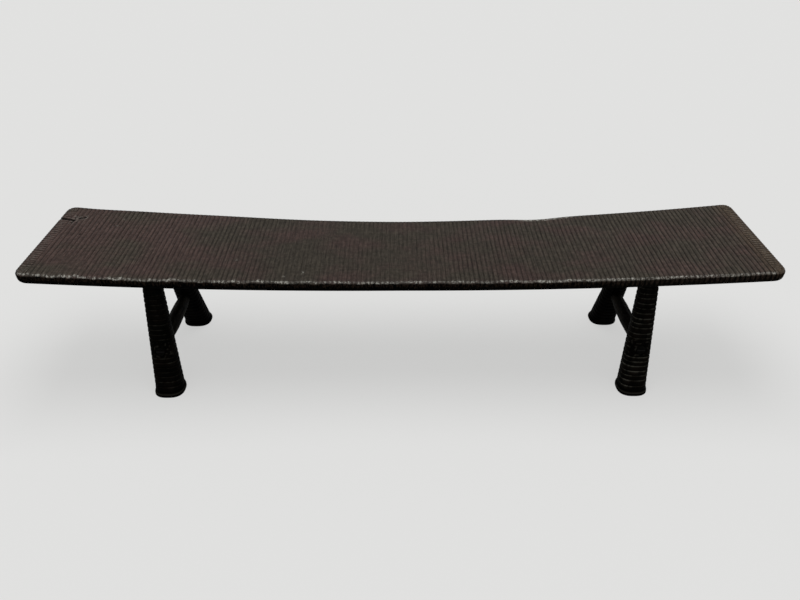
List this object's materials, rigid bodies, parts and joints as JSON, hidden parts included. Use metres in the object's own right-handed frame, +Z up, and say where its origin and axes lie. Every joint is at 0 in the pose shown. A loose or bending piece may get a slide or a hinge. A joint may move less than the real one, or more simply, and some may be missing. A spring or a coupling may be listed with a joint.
{
  "type": "bench",
  "caption": "Long low carved wooden bench: a dished, waisted plank with ribbed top on splayed, ringed legs that swell towards the floor and are tied in pairs by round stretchers.",
  "frame": {"origin": "on the floor, under the middle of the bench", "axes": "+X along the seat towards the right end, +Y towards the rear, +Z up"},
  "size_m": [2.195, 0.4426, 0.4825],
  "materials": {
    "seat_teak": "dark stained, waxed, carved in fine ribs",
    "leg_teak": "near black stain, waxed, carved in rings",
    "stretcher_teak": "near black stain, hewn along the grain",
    "wedge_teak": "dark stain, sawn end grain"
  },
  "bodies": {
    "root": {"seat_plank": "seat_teak", "leg_front_left": "leg_teak", "leg_front_right": "leg_teak", "leg_rear_left": "leg_teak", "leg_rear_right": "leg_teak", "stretcher_left": "stretcher_teak", "stretcher_right": "stretcher_teak", "leg_wedge_front_left": "wedge_teak", "leg_wedge_front_right": "wedge_teak", "leg_wedge_rear_left": "wedge_teak", "leg_wedge_rear_right": "wedge_teak", "stretcher_wedge_front_left": "wedge_teak", "stretcher_wedge_front_right": "wedge_teak", "stretcher_wedge_rear_left": "wedge_teak", "stretcher_wedge_rear_right": "wedge_teak"}
  },
  "joints": []
}
